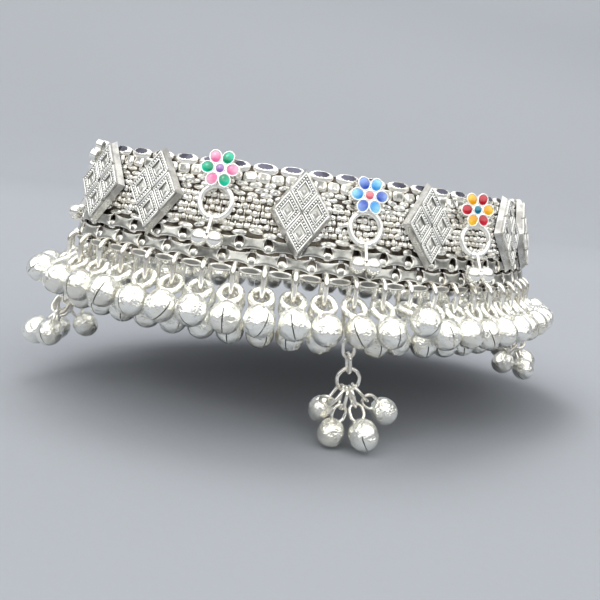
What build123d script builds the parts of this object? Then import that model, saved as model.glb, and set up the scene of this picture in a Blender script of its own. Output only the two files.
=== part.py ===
from build123d import *
from math import atan2, cos, degrees, exp, pi, radians, sin, tan
import os

os.makedirs("parts", exist_ok=True)

# Payal anklet, worn form. Millimetres, +Z up. The origin is the middle of the ankle opening, at half the
# height of the band. The blue flower stands at the front, towards -Y.

# Plan of the band's lower edge: an oval of four tangent arcs through the middle of the wall
half_length = 53.0  # middle of the opening to the wall at an end
half_depth = 31.4  # middle of the opening to the wall at the front
end_radius = 12.5
flare = 14.0  # degrees that the wall leans in from its lower edge, as it narrows up the ankle

band_height = 20.0
band_thick = 1.8
low_edge = -band_height / 2
top_edge = band_height / 2
small_gap = 0.1  # between pieces that touch on the real thing

# Woven band: notches between the links of its edges, and the gaps that go right through
top_notch_width = 1.9
top_notch_depth = 0.6
low_notch_width = 1.1
low_notch_depth = 0.45
ring_gap_low = 0.8  # lower end of a jump ring's gap, above the lower edge
ring_gap_width = 1.3
ring_gap_height = 1.8
mesh_gap_low = 3.9
mesh_gap_width = 1.2
mesh_gap_height = 0.9

# Clasp at the back, narrow enough to stand between two jump rings
clasp_width = 3.9
clasp_height = 19.0
clasp_thick = 3.4
clasp_seat = 1.0  # how deep each end of the band sits in the clasp

# Diamond plates
diamond_width = 10.3
diamond_height = 15.2
diamond_middle = 2.2  # above the middle of the band
diamond_base = 1.1
diamond_skirt = 0.6  # how far the foot of the base stands out below its top, each way across
diamond_rim = 0.55
window_peak = 0.42

# Flower units
petal_count = 6
petal_place = 2.35  # middle of a petal to the middle of the flower
petal_long = 2.2  # enamel in a petal, outwards
petal_wide = 1.9
heart_size = 1.5  # enamel in the middle
cup_wall = 0.27
cup_base = 0.75
cup_depth = 0.4
enamel_thick = 0.32
enamel_gap = 0.04
flower_middle = top_edge - 3.0
flower_stand = 1.45  # back of the cups above the middle of the wall, where a flower lies flat
hoop_radius = 3.0
hoop_wire = 0.42
hoop_drop = 5.9
hoop_stand = 0.1  # middle of the hoop's wire in front of the cups' backs
foot_ball = 0.75
foot_drop = 8.9
foot_stand = 0.4
drop_ball = 1.55
drop_ball_drop = 12.9
ball_belt = 0.16  # straight stretch between the two halves of a ball
drop_ball_stand = 1.3
stem_width = 1.3
stem_thick = 0.6
stem_round = 0.25
flower_reach = 3.6  # middle of a flower to the side of its cups

# Jump rings, two bells on each
ring_count = 48
ring_bend = 2.05  # radius of the bends at the top and bottom
ring_out = -0.15  # middle of a ring from the middle of the wall's lower edge
ring_wire = 0.5
ring_top = low_edge + 1.85
ring_bottom = low_edge - 4.9
bell_belt = 0.5  # straight stretch between the two half spheres
bell_wall = 0.4
slit_width = 0.22

# The two rows of bells. hang is from the jump ring's wire to the middle of the loop, and drop from there
# to the middle of the bell. Then how they hang, in degrees: lean out from the wall and place on the bend
# of the jump ring, each at the flat stretches and at the tight ends, and a repeating unevenness of lean
# and of swing. The outer bell of one ring is lifted and the inner one tucked in: moved is the change of
# lean and place there.
outer_row = {
    "loop_radius": 1.95, "loop_wire": 0.6, "hang": 0.36, "drop": 5.2, "bell_radius": 2.85,
    "lean": (49, 56), "place": (78, 78), "lean_change": (4, -1, 2, 5, -2, 0),
    "swing_change": (0, 0.6, -0.5, 0.3), "moved": {1: (28, 12)},
}
inner_row = {
    "loop_radius": 1.9, "loop_wire": 0.55, "hang": 0.42, "drop": 4.95, "bell_radius": 2.65,
    "lean": (7, 16), "place": (4, -7), "lean_change": (0, 0.5, -1, 0),
    "swing_change": (0.4, -0.6, 0.5, -0.3), "moved": {1: (-6, -20)},
}
sway = 4.0  # everything that hangs sways this far towards +X
end_blend = 14.0  # run of band over which the hang changes towards an end
slit_turns = (0, 32, -18, 55, -40)  # the bells' slits face different ways

# Tassels: jump ring, chain links, and lean and swing of each
tassel_table = (
    {"ring": -1, "links": 4, "lean": 0, "swing": 4},
    {"ring": 11, "links": 2, "lean": 14, "swing": 0},
    {"ring": -13, "links": 2, "lean": 14, "swing": 0},
)
link_bend = 1.1
link_wire = 0.34
link_length = 3.75
hub_radius = 2.25
hub_wire = 0.34
fan_wire = 0.3
fan_bend = 1.5
fan_length = 4.4
bail_bend = 1.3
bail_length = 3.4
bail_seat = 0.3  # how deep the foot of the bail's middle line sits in the bell
# Radius of each bell, then in degrees: turn along the band of the ring that it hangs from, its own lean
# out from the wall, and its own swing along the band from where that ring points
fan_table = (
    {"radius": 2.65, "turn": -41, "lean": -50, "swing": 22},
    {"radius": 2.6, "turn": -14, "lean": 6, "swing": -11},
    {"radius": 2.9, "turn": 13, "lean": 28, "swing": -2},
    {"radius": 2.65, "turn": 40, "lean": -8, "swing": 12},
)

# Enamel colours of each flower: petals clockwise from the upper right, then the heart
flower_table = (
    {"place": 0, "petals": ("sky", "navy", "sky", "navy", "sky", "navy"), "heart": "rose"},
    {"place": 1.85, "petals": ("red", "yellow", "red", "yellow", "red", "yellow"), "heart": "teal"},
    {"place": -2.07, "petals": ("green", "pink", "green", "pink", "green", "pink"), "heart": "violet"},
    {"place": 5, "petals": ("sky", "navy", "sky", "navy", "sky", "navy"), "heart": "rose"},
    {"place": -5, "petals": ("red", "yellow", "red", "yellow", "red", "yellow"), "heart": "teal"},
    {"place": 7, "petals": ("green", "pink", "green", "pink", "green", "pink"), "heart": "violet"},
    {"place": -7, "petals": ("red", "yellow", "red", "yellow", "red", "yellow"), "heart": "teal"},
)
flower_turns = {1.85: 22}  # degrees that a flower is turned towards the front
diamond_places = (1, -0.9, 3, -3, 4, -4, 6, -6, 8, -8)
motif_lifts = {0: -0.8, 1.85: -1.1, -2.07: 0.4, -0.9: -0.5}  # motifs that sit higher or lower than the rest
motif_pitch_in_rings = 2.5
motif_start = -1.7  # run of the blue flower: it stands a little to the left of the middle

# Worked out from the plan
front_radius = ((half_length - end_radius) ** 2 + half_depth**2 - end_radius**2) / (
    2 * (half_depth - end_radius)
)
front_centre = front_radius - half_depth
end_centre = half_length - end_radius
front_turn = atan2(end_centre, front_centre)  # half the turn of the front arc
front_run = front_turn * front_radius
end_run = (pi - 2 * front_turn) * end_radius
loop_length = 4 * front_run + 2 * end_run
ring_pitch = loop_length / ring_count
motif_pitch = motif_pitch_in_rings * ring_pitch
print(f"band {loop_length:.1f} mm round, front radius {front_radius:.2f}, ring pitch {ring_pitch:.3f}")


def wall_plane(run, height=0.0, out=0.0, lean=flare):
    """Plane on the wall: x along the band, y up the wall, z square out of it.

    run goes round from the front along the lower edge. With no lean the plane stands upright over the
    lower edge.
    """
    side = 1 if run >= 0 else -1
    distance = abs(run)
    if distance <= front_run:
        turn = distance / front_radius
        centre_x, centre_y, radius = 0, front_centre, front_radius
    elif distance <= front_run + end_run:
        turn = front_turn + (distance - front_run) / end_radius
        centre_x, centre_y, radius = end_centre, 0, end_radius
    else:
        turn = pi - (loop_length / 2 - distance) / front_radius
        centre_x, centre_y, radius = 0, -front_centre, front_radius
    rise = sin(radians(lean))
    reach = radius - (height - low_edge) * tan(radians(lean)) + out * cos(radians(lean))
    level = height + out * rise
    return Plane(
        origin=(side * (centre_x + reach * sin(turn)), centre_y - reach * cos(turn), level),
        x_dir=(cos(turn), side * sin(turn), 0),
        z_dir=(side * sin(turn) * cos(radians(lean)), -cos(turn) * cos(radians(lean)), rise),
    )


def motif_plane(place, height, out):
    """Plane on the wall for a diamond or a flower, by its place counted from the blue flower."""
    run = motif_start + place * motif_pitch
    if abs(run) > loop_length / 2:
        run -= loop_length * run / abs(run)
    return wall_plane(run, height + motif_lifts.get(place, 0), out)


def flower_plane(place):
    """Plane for a flower on the wall. One that is turned round its own upright stands out further."""
    turn = radians(flower_turns.get(place, 0))
    flat = motif_plane(place, flower_middle, flower_stand + flower_reach * sin(turn))
    turned_x = flat.x_dir * cos(turn) + flat.z_dir * sin(turn)
    return Plane(origin=flat.origin, x_dir=turned_x, z_dir=turned_x.cross(flat.y_dir))


def oval_face(grow):
    """The oval of the lower edge, grown or shrunk by a distance."""
    turn = degrees(front_turn)
    with BuildSketch(mode=Mode.PRIVATE) as oval:
        with BuildLine():
            CenterArc((0, front_centre), front_radius + grow, -90 - turn, 2 * turn)
            CenterArc((end_centre, 0), end_radius + grow, turn - 90, 180 - 2 * turn)
            CenterArc((0, -front_centre), front_radius + grow, 90 - turn, 2 * turn)
            CenterArc((-end_centre, 0), end_radius + grow, 90 + turn, 180 - 2 * turn)
        make_face()
    return oval.sketch


def ring_run(ring):
    """Run of a jump ring: they stand to both sides of the front, half a pitch from it."""
    return (ring + 0.5) * ring_pitch


def long_ring(bend, length, wire):
    """Ring of round wire, two half turns and two straight legs, hanging down from y = 0 in XY."""
    with BuildPart(mode=Mode.PRIVATE) as ring:
        with BuildLine() as middle_line:
            Line((bend, bend - length), (bend, -bend))
            CenterArc((0, -bend), bend, 0, 180)
            Line((-bend, -bend), (-bend, bend - length))
            CenterArc((0, bend - length), bend, 180, 180)
        with BuildSketch(Plane(origin=(bend, -length / 2, 0), z_dir=(0, 1, 0))):
            Circle(wire)
        sweep(path=middle_line.wires()[0])
    return ring.part


def round_ball(radius, belt, drop=0.0):
    """Ball of two half spheres with a short straight stretch between them, its middle at y = -drop."""
    high = belt / 2 - drop
    low = -belt / 2 - drop
    with BuildPart(mode=Mode.PRIVATE) as ball:
        with BuildSketch():
            with BuildLine():
                CenterArc((0, high), radius, 0, 90)
                Line((radius, high), (radius, low))
                CenterArc((0, low), radius, 270, 90)
                Line((0, low - radius), (0, high + radius))
            make_face()
        revolve(axis=Axis.Y)
    return ball.part


def bell_hollow(radius, drop, turn):
    """Inside and slit of a bell with its middle at y = -drop."""
    with BuildPart(mode=Mode.PRIVATE) as hollow:
        add(round_ball(radius - bell_wall, bell_belt, drop))
        with Locations(Location((0, -drop - radius, 0), (0, turn, 0))):
            Box(slit_width, 2 * radius, 3 * radius)
    return hollow.part


def row_bell(row, turn):
    """Bell of one of the two rows with its thick loop, hanging from y = 0."""
    drop = row["hang"] + row["drop"]
    with BuildPart(mode=Mode.PRIVATE) as bell:
        with Locations((0, -row["hang"], 0)):
            Torus(row["loop_radius"], row["loop_wire"])
        add(round_ball(row["bell_radius"], bell_belt, drop))
        add(bell_hollow(row["bell_radius"], drop, turn), mode=Mode.SUBTRACT)
    return bell.part


def tassel_bell(radius, turn):
    """Bell of a tassel on its long bail of thin wire, hanging from y = 0."""
    drop = bail_length - bail_seat + radius
    with BuildPart(mode=Mode.PRIVATE) as bell:
        add(long_ring(bail_bend, bail_length, fan_wire))
        add(round_ball(radius, bell_belt, drop))
        add(bell_hollow(radius, drop, turn), mode=Mode.SUBTRACT)
    return bell.part


def hang_plane(ring, place, lean, swing):
    """Plane on a jump ring's wire for what hangs there: y goes up along it, z out from the wall.

    place is where on the ring's lower bend it hangs, and lean and swing turn it outwards and along
    the band, all in degrees.
    """
    wall = wall_plane(ring_run(ring), ring_bottom + ring_bend, ring_out, lean=0)
    along = wall.x_dir
    outward = wall.z_dir
    up = Vector(0, 0, 1)
    bend_middle = wall.origin
    hook = bend_middle + outward * (ring_bend * sin(radians(place))) - up * (ring_bend * cos(radians(place)))
    swing_angle = radians(swing + sway * along.X)
    down = outward * sin(radians(lean)) - up * cos(radians(lean))
    down = down * cos(swing_angle) + along * sin(swing_angle)
    face = down.cross(along).normalized()
    return Plane(origin=hook, x_dir=face.cross(down), z_dir=face)


def end_share(run):
    """1 at the tight ends of the oval, falling to 0 along the flat stretches."""
    return exp(-(((abs(run) - loop_length / 4) / end_blend) ** 2))


def row_plane(ring, row):
    """Plane for the bell of one row on one jump ring."""
    share = end_share(ring_run(ring))
    lean = row["lean"][0] * (1 - share) + row["lean"][1] * share
    place = row["place"][0] * (1 - share) + row["place"][1] * share
    moved = row["moved"].get(ring, (0, 0))
    lean += row["lean_change"][ring % len(row["lean_change"])] + moved[0]
    place += moved[1]
    swing = row["swing_change"][ring % len(row["swing_change"])]
    return hang_plane(ring, place, lean, swing)


def cross_plane(plane, drop):
    """The same plane lower down, turned a quarter so that a link there crosses the one above."""
    return Plane(origin=plane.origin - plane.y_dir * drop, x_dir=plane.z_dir, z_dir=-plane.x_dir)


def moved_plane(plane, rise):
    """The same plane further up along its own y."""
    return Plane(origin=plane.origin + plane.y_dir * rise, x_dir=plane.x_dir, z_dir=plane.z_dir)


def turned_plane(plane, turn):
    """The same plane turned about its own z, in degrees."""
    turned_x = plane.x_dir * cos(radians(turn)) + plane.y_dir * sin(radians(turn))
    return Plane(origin=plane.origin, x_dir=turned_x, z_dir=plane.z_dir)


def leant_plane(plane, lean):
    """The same plane turned about its own x, so that what hangs from it swings towards +z, in degrees."""
    leant_z = plane.z_dir * cos(radians(lean)) + plane.y_dir * sin(radians(lean))
    return Plane(origin=plane.origin, x_dir=plane.x_dir, z_dir=leant_z)


def write_step(part, name):
    part.label = name
    export_step(part, f"parts/{name}.step")


rings = range(-ring_count // 2, ring_count // 2)

# Woven band: the wall, the notches of its edges and its gaps
back_gap = clasp_width - 2 * clasp_seat


def notch(width, depth):
    """Wedge across the wall, its tip at y = -depth."""
    with BuildPart(mode=Mode.PRIVATE) as wedge:
        with BuildSketch(Plane.XY.offset(-band_thick)):
            with BuildLine():
                Polyline((-width, depth), (width, depth), (0, -depth), close=True)
            make_face()
        extrude(amount=2 * band_thick)
    return wedge.part


top_notch = notch(top_notch_width / 2, top_notch_depth)
low_notch = notch(low_notch_width / 2, low_notch_depth)
with BuildPart() as woven_band:
    with BuildSketch(Plane.XY.offset(low_edge)):
        add(oval_face(band_thick / 2))
    extrude(amount=band_height, taper=flare)
    with BuildSketch(Plane.XY.offset(low_edge)):
        add(oval_face(-band_thick / 2))
    extrude(amount=band_height, taper=flare, mode=Mode.SUBTRACT)
    with Locations(*[wall_plane(ring_run(ring), top_edge) for ring in rings]):
        add(top_notch, mode=Mode.SUBTRACT)
    with Locations(*[turned_plane(wall_plane(ring_run(ring), low_edge), 180) for ring in rings]):
        add(low_notch, mode=Mode.SUBTRACT)
    gap_height = low_edge + ring_gap_low + ring_gap_height / 2
    with Locations(*[wall_plane(ring_run(ring), gap_height) for ring in rings]):
        Box(ring_gap_width, ring_gap_height, 3 * band_thick, mode=Mode.SUBTRACT)
    gap_height = low_edge + mesh_gap_low + mesh_gap_height / 2
    with Locations(*[wall_plane(ring * ring_pitch, gap_height) for ring in rings[1:]]):
        Box(mesh_gap_width, mesh_gap_height, 3 * band_thick, mode=Mode.SUBTRACT)
    with Locations(wall_plane(loop_length / 2)):
        Box(back_gap + 2 * small_gap, 2 * band_height, 3 * band_thick, mode=Mode.SUBTRACT)
write_step(woven_band.part, "woven_band")

# Clasp: a plain block at the back with a groove for each end of the band
with BuildPart() as groove:
    with BuildSketch(Plane.XY.offset(low_edge)):
        add(oval_face(band_thick / 2 + small_gap))
    extrude(amount=band_height, taper=flare)
    with BuildSketch(Plane.XY.offset(low_edge)):
        add(oval_face(-band_thick / 2 - small_gap))
    extrude(amount=band_height, taper=flare, mode=Mode.SUBTRACT)
    with Locations(wall_plane(loop_length / 2)):
        Box(back_gap, 2 * band_height, 4 * band_thick, mode=Mode.SUBTRACT)
        Box(2 * clasp_width, 2 * band_height, 4 * band_thick, mode=Mode.INTERSECT)
with BuildPart() as clasp:
    with BuildSketch(wall_plane(loop_length / 2, out=-clasp_thick / 2)):
        RectangleRounded(clasp_width, clasp_height, clasp_thick / 5)
    extrude(amount=clasp_thick)
    add(groove.part, mode=Mode.SUBTRACT)
write_step(clasp.part, "clasp")

# Diamond plate, made once in its own plane
cell_width = diamond_width / 2
cell_height = diamond_height / 2
cell_places = ((0, cell_height / 2), (0, -cell_height / 2), (cell_width / 2, 0), (-cell_width / 2, 0))


def cell_face(share, mode=Mode.ADD):
    """The rhombus of one cell at a share of its size, at each cell of the plate."""
    half_width = share * cell_width / 2
    half_height = share * cell_height / 2
    with Locations(*cell_places):
        Polygon((half_width, 0), (0, half_height), (-half_width, 0), (0, -half_height), mode=mode)


foot_share = 1 + diamond_skirt / cell_width
with BuildPart() as diamond:
    for level, share in ((0, foot_share), (diamond_base, 1)):
        with BuildSketch(Plane.XY.offset(level)):
            half_width = share * cell_width
            half_height = share * cell_height
            Polygon((half_width, 0), (0, half_height), (-half_width, 0), (0, -half_height))
    loft()
    with BuildSketch(Plane.XY.offset(diamond_base)):
        cell_face(0.95)
        cell_face(0.80, mode=Mode.SUBTRACT)
        cell_face(0.58)
        cell_face(0.46, mode=Mode.SUBTRACT)
    extrude(amount=diamond_rim)
    for cell_x, cell_y in cell_places:
        for level, share in ((diamond_base, 0.40), (diamond_base + window_peak, 0.10)):
            with BuildSketch(Plane((cell_x, cell_y, level))):
                Polygon(
                    (share * cell_width / 2, 0),
                    (0, share * cell_height / 2),
                    (-share * cell_width / 2, 0),
                    (0, -share * cell_height / 2),
                )
        loft()
for number, place in enumerate(diamond_places, 1):
    with BuildPart() as plate:
        with Locations(motif_plane(place, diamond_middle, band_thick / 2 + small_gap)):
            add(diamond.part)
    write_step(plate.part, f"diamond_plate_{number}")

# Flower unit: cups, hoop and balls soldered to one piece, made once in its own plane
petal_turns = [60 - 60 * number for number in range(petal_count)]
petal_spots = [
    Location((petal_place * cos(radians(turn)), petal_place * sin(radians(turn)), 0), turn)
    for turn in petal_turns
]
foot_ball_part = round_ball(foot_ball, ball_belt)
drop_ball_part = round_ball(drop_ball, ball_belt)
with BuildPart() as flower:
    with BuildSketch():
        with Locations(*petal_spots):
            Ellipse(petal_long / 2 + cup_wall, petal_wide / 2 + cup_wall)
        Circle(petal_place - petal_long / 4)
    extrude(amount=cup_base + cup_depth)
    with BuildSketch(Plane.XY.offset(cup_base)):
        with Locations(*petal_spots):
            Ellipse(petal_long / 2, petal_wide / 2)
        Circle(heart_size / 2)
    extrude(amount=cup_depth, mode=Mode.SUBTRACT)
    with Locations((0, -hoop_drop, hoop_stand)):
        Torus(hoop_radius, hoop_wire)
    offset = 0.9 * foot_ball
    with Locations((-offset, -foot_drop, foot_stand), (offset, -foot_drop, foot_stand)):
        add(foot_ball_part)
    offset = 0.95 * drop_ball
    with Locations((-offset, -drop_ball_drop, drop_ball_stand), (offset, -drop_ball_drop, drop_ball_stand)):
        add(drop_ball_part)
    stem_foot = drop_ball / 2 - drop_ball_drop
    with BuildLine(Plane.YZ):
        Line((-foot_drop, foot_stand), (stem_foot, drop_ball_stand))
    stem_way = (0, stem_foot + foot_drop, drop_ball_stand - foot_stand)
    with BuildSketch(Plane(origin=(0, -foot_drop, foot_stand), z_dir=stem_way)):
        RectangleRounded(stem_width, stem_thick, stem_round)
    sweep()
for number, row in enumerate(flower_table, 1):
    with BuildPart() as unit:
        with Locations(flower_plane(row["place"])):
            add(flower.part)
    write_step(unit.part, f"flower_{number}")

# Enamel: a thin pool in each cup, one node for each colour
with BuildPart() as petal_enamel:
    with BuildSketch(Plane.XY.offset(cup_base + enamel_gap)):
        Ellipse(petal_long / 2 - enamel_gap, petal_wide / 2 - enamel_gap)
    extrude(amount=enamel_thick)
with BuildPart() as heart_enamel:
    with BuildSketch(Plane.XY.offset(cup_base + enamel_gap)):
        Circle(heart_size / 2 - enamel_gap)
    extrude(amount=enamel_thick)
petal_colours = sorted({colour for row in flower_table for colour in row["petals"]})
heart_colours = sorted({row["heart"] for row in flower_table})
for colour in petal_colours:
    spots = []
    for row in flower_table:
        face = flower_plane(row["place"])
        spots += [face.location * spot for spot, name in zip(petal_spots, row["petals"]) if name == colour]
    with BuildPart() as pools:
        with Locations(*spots):
            add(petal_enamel.part)
    write_step(pools.part, f"enamel_{colour}")
for colour in heart_colours:
    places = [row["place"] for row in flower_table if row["heart"] == colour]
    with BuildPart() as pools:
        with Locations(*[flower_plane(place) for place in places]):
            add(heart_enamel.part)
    write_step(pools.part, f"enamel_{colour}")

# Jump rings through the lower edge, standing square to the band
with BuildPart() as jump_rings:
    wire_ring = long_ring(ring_bend, ring_top - ring_bottom, ring_wire)
    upright = [cross_plane(wall_plane(ring_run(ring), ring_top, ring_out, lean=0), 0) for ring in rings]
    with Locations(*upright):
        add(wire_ring)
write_step(jump_rings.part, "jump_rings")

# Two rows of bells
tassel_rings = [row["ring"] for row in tassel_table]
for name, row, skipped in (("outer_bells", outer_row, []), ("inner_bells", inner_row, tassel_rings)):
    bell_shapes = [row_bell(row, turn) for turn in slit_turns]
    with BuildPart() as bells:
        for number, shape in enumerate(bell_shapes):
            own = [ring for ring in rings if ring % len(bell_shapes) == number and ring not in skipped]
            with Locations(*[row_plane(ring, row) for ring in own]):
                add(shape)
    write_step(bells.part, name)

# Tassels: chain, hub ring, then a fan of small rings with a bell on each
chain_link = long_ring(link_bend, link_length, link_wire)
fan_ring = long_ring(fan_bend, fan_length, fan_wire)
fan_bells = [tassel_bell(spot["radius"], turn) for spot, turn in zip(fan_table, slit_turns)]
link_hang = ring_wire + link_wire + small_gap  # hook wire to the next ring's top, above it
link_pitch = link_length - 2 * link_wire - small_gap
hub_hang = link_wire + hub_wire + small_gap
fan_hang = hub_wire + fan_wire + small_gap
bail_hang = 2 * fan_wire + small_gap
for number, row in enumerate(tassel_table, 1):
    hook = hang_plane(row["ring"], row["lean"], row["lean"], row["swing"])
    first_link = moved_plane(hook, link_hang)
    link_planes = [first_link]
    for _ in range(row["links"] - 1):
        link_planes.append(cross_plane(link_planes[-1], link_pitch))
    chain_length = link_length + (row["links"] - 1) * link_pitch
    hub = moved_plane(first_link, hub_hang - chain_length - hub_radius)
    spokes = [turned_plane(hub, spot["turn"]) for spot in fan_table]
    fan_planes = [cross_plane(spoke, hub_radius - fan_hang) for spoke in spokes]
    bail_planes = []
    for spoke, spot in zip(spokes, fan_table):
        fan_foot = moved_plane(spoke, fan_hang - hub_radius - fan_length + fan_bend)
        wire_foot = moved_plane(leant_plane(fan_foot, spot["lean"]), -fan_bend)
        bail_planes.append(moved_plane(turned_plane(wire_foot, spot["swing"]), bail_hang))
    with BuildPart() as tassel:
        with Locations(*link_planes):
            add(chain_link)
        with Locations(hub):
            Torus(hub_radius, hub_wire)
        with Locations(*fan_planes):
            add(fan_ring)
        for plane, bell_shape in zip(bail_planes, fan_bells):
            with Locations(plane):
                add(bell_shape)
    write_step(tassel.part, f"tassel_{number}")
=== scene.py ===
import math

import bpy
import numpy as np
from mathutils import Matrix, Vector


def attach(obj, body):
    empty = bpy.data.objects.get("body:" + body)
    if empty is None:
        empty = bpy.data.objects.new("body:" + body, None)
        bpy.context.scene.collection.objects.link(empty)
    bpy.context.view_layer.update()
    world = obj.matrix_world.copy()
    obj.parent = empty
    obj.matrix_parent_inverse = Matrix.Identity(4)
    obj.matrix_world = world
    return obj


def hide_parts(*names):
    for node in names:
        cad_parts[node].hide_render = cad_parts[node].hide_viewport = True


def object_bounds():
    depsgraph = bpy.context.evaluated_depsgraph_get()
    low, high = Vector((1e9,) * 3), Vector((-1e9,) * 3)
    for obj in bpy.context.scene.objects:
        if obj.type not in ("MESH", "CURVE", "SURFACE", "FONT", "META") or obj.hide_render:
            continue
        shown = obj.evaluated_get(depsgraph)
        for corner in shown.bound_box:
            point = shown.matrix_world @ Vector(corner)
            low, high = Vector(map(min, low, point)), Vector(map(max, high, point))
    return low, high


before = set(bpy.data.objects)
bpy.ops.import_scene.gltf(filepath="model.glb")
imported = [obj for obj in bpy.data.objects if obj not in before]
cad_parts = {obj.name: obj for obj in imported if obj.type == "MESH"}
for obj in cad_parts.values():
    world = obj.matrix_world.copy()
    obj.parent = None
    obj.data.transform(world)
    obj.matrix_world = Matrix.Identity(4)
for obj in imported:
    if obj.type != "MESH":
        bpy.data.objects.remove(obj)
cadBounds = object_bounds()
chance = np.random.default_rng(7)
mm = 0.001

cameraLooks = {
    "place": (-42.47, -130.38, 6.83),  # mm from the middle of the ankle opening
    "turn": -16.8,  # degrees to the right of straight ahead
    "tip": 10.95,  # degrees down
    "roll": 7.7,
    "lens": 35.01,
    "sensor": 36,
    "nearest": 0.005,  # m
}


def placeCamera(looks):
    turn, tip, roll = (math.radians(looks[key]) for key in ("turn", "tip", "roll"))
    side = Vector((math.cos(turn), math.sin(turn), 0))
    ahead = Vector((-math.sin(turn), math.cos(turn), 0))
    forward = ahead * math.cos(tip) - Vector((0, 0, 1)) * math.sin(tip)
    up = ahead * math.sin(tip) + Vector((0, 0, 1)) * math.cos(tip)
    right = side * math.cos(roll) + up * math.sin(roll)
    top = up * math.cos(roll) - side * math.sin(roll)
    data = bpy.data.cameras.new("camera")
    data.lens = looks["lens"]
    data.sensor_width = looks["sensor"]
    data.clip_start = looks["nearest"]
    camera = bpy.data.objects.new("camera", data)
    axes = Matrix((right, top, -forward)).transposed().to_4x4()
    camera.matrix_world = Matrix.Translation(Vector(looks["place"]) * mm) @ axes
    bpy.context.scene.collection.objects.link(camera)
    bpy.context.scene.camera = camera


placeCamera(cameraLooks)
print("camera placed")


class Wire:
    # one output of a node; sums on it add the Math nodes
    def __init__(self, finish, socket):
        self.finish = finish
        self.socket = socket

    def maths(self, operation, first, second):
        return self.finish.node("ShaderNodeMath", {"operation": operation}, {0: first, 1: second})

    def __add__(self, other):
        return self.maths("ADD", self, other)

    def __radd__(self, other):
        return self.maths("ADD", other, self)

    def __sub__(self, other):
        return self.maths("SUBTRACT", self, other)

    def __rsub__(self, other):
        return self.maths("SUBTRACT", other, self)

    def __mul__(self, other):
        return self.maths("MULTIPLY", self, other)

    def __rmul__(self, other):
        return self.maths("MULTIPLY", other, self)


class Finish:
    # one material and its nodes
    def __init__(self, name, tree=None):
        if tree is None:
            self.material = bpy.data.materials.new(name)
            self.material.use_nodes = True
            tree = self.material.node_tree
        self.tree = tree
        self.tree.nodes.clear()

    def node(self, kind, settings=None, sockets=None, output=0):
        made = self.tree.nodes.new(kind)
        for key, setting in (settings or {}).items():
            setattr(made, key, setting)
        for key, value in (sockets or {}).items():
            if isinstance(value, Wire):
                self.tree.links.new(value.socket, made.inputs[key])
            else:
                made.inputs[key].default_value = value
        return Wire(self, made.outputs[output]) if made.outputs else None

    def position(self):
        return self.node("ShaderNodeTexCoord", output=3)

    def along(self, vector, axis):
        # how far a vector reaches along an axis
        settings = {"operation": "DOT_PRODUCT"}
        return self.node("ShaderNodeVectorMath", settings, {0: vector, 1: axis}, output=1)

    def noise(self, scale, detail=2.0, stretch=(1, 1, 1)):
        settings = {"operation": "MULTIPLY"}
        place = self.node("ShaderNodeVectorMath", settings, {0: self.position(), 1: stretch})
        sockets = {"Vector": place, "Scale": scale, "Detail": detail}
        return self.node("ShaderNodeTexNoise", {}, sockets)

    def range(self, value, low, high):
        sockets = {0: value, 1: low, 2: high}
        return self.node("ShaderNodeMapRange", {"interpolation_type": "SMOOTHSTEP"}, sockets)

    def mix(self, share, first, second):
        sockets = {0: share, 6: first, 7: second}
        return self.node("ShaderNodeMix", {"data_type": "RGBA"}, sockets, output=2)

    def bump(self, height, strength, distance):
        sockets = {"Height": height, "Strength": strength, "Distance": distance}
        return self.node("ShaderNodeBump", {}, sockets)

    def shader(self, sockets):
        surface = self.node("ShaderNodeBsdfPrincipled", {}, sockets)
        self.node("ShaderNodeOutputMaterial", {}, {"Surface": surface})
        return self.material


def tone(*screen):
    # a screen colour, 0 to 255, as light
    light = [((c / 255 + 0.055) / 1.055) ** 2.4 if c > 10 else c / 255 / 12.92 for c in screen]
    return (*light, 1)


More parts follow.
